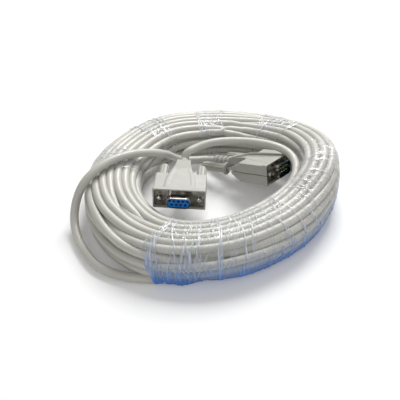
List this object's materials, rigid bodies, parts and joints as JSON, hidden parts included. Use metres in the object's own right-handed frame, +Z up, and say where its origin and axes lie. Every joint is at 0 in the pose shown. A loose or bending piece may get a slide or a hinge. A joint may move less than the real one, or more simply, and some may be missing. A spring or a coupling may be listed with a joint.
{
  "type": "serial extension cable",
  "caption": "Long round grey cable wound into a flat ring coil held by clear film bands, with a nine-way D-shaped socket connector and matching plug connector in its open middle.",
  "frame": {"origin": "middle of the footprint of the whole part, on the surface it lies on", "axes": "+Z up along the coil's axis, -Y the side that the socket connector faces, +X towards the plug connector"},
  "size_m": [0.175, 0.1728, 0.0408],
  "materials": {
    "cable_jacket": "satin extruded soft PVC",
    "moulded_grey": "satin injection moulded",
    "clear_film": "clear wrinkled stretch film",
    "nickel_plate": "nickel plated pressed steel",
    "blue_insulator": "satin moulded",
    "gold_contact": "gold flashed brass",
    "wire_insulation": "fine wires",
    "steel": "plated steel"
  },
  "bodies": {
    "cable": {"cable_coil": "cable_jacket", "cable_tail_female": "cable_jacket", "cable_tail_male": "cable_jacket", "female_boot": "moulded_grey", "female_clamp": "steel", "female_front_shell": "nickel_plate", "female_hood_lower": "moulded_grey", "female_hood_upper": "moulded_grey", "female_insulator": "blue_insulator", "female_rear_shell": "nickel_plate", "female_socket_1": "gold_contact", "female_socket_2": "gold_contact", "female_socket_3": "gold_contact", "female_socket_4": "gold_contact", "female_socket_5": "gold_contact", "female_socket_6": "gold_contact", "female_socket_7": "gold_contact", "female_socket_8": "gold_contact", "female_socket_9": "gold_contact", "female_wires": "wire_insulation", "film_band_back": "clear_film", "film_band_back_left": "clear_film", "film_band_back_right": "clear_film", "film_band_front": "clear_film", "film_band_front_right": "clear_film", "film_band_left": "clear_film", "film_band_right": "clear_film", "male_boot": "moulded_grey", "male_clamp": "steel", "male_front_shell": "nickel_plate", "male_hood_lower": "moulded_grey", "male_hood_upper": "moulded_grey", "male_insulator": "blue_insulator", "male_pin_1": "gold_contact", "male_pin_2": "gold_contact", "male_pin_3": "gold_contact", "male_pin_4": "gold_contact", "male_pin_5": "gold_contact", "male_pin_6": "gold_contact", "male_pin_7": "gold_contact", "male_pin_8": "gold_contact", "male_pin_9": "gold_contact", "male_rear_shell": "nickel_plate", "male_wires": "wire_insulation"},
    "female_thumbscrew_left": {"female_thumbscrew_knob_left": "moulded_grey", "female_thumbscrew_screw_left": "steel"},
    "female_thumbscrew_right": {"female_thumbscrew_knob_right": "moulded_grey", "female_thumbscrew_screw_right": "steel"},
    "male_thumbscrew_left": {"male_thumbscrew_knob_left": "moulded_grey", "male_thumbscrew_screw_left": "steel"},
    "male_thumbscrew_right": {"male_thumbscrew_knob_right": "moulded_grey", "male_thumbscrew_screw_right": "steel"}
  },
  "joints": [
    {"name": "female_thumbscrew_left_turn", "type": "hinge", "parent": "cable", "child": "female_thumbscrew_left", "pos_m": [-0.00602, -0.03238, 0.02106], "axis": [-0.0453, -0.9986, 0.0262], "continuous": true},
    {"name": "female_thumbscrew_right_turn", "type": "hinge", "parent": "cable", "child": "female_thumbscrew_right", "pos_m": [-0.03098, -0.03122, 0.02194], "axis": [-0.0453, -0.9986, 0.0262], "continuous": true},
    {"name": "male_thumbscrew_left_turn", "type": "hinge", "parent": "cable", "child": "male_thumbscrew_left", "pos_m": [0.0549, 0.01191, 0.01849], "axis": [0.7996, -0.5434, 0.2554], "continuous": true},
    {"name": "male_thumbscrew_right_turn", "type": "hinge", "parent": "cable", "child": "male_thumbscrew_right", "pos_m": [0.0401, -0.00771, 0.02311], "axis": [0.7996, -0.5434, 0.2554], "continuous": true}
  ]
}
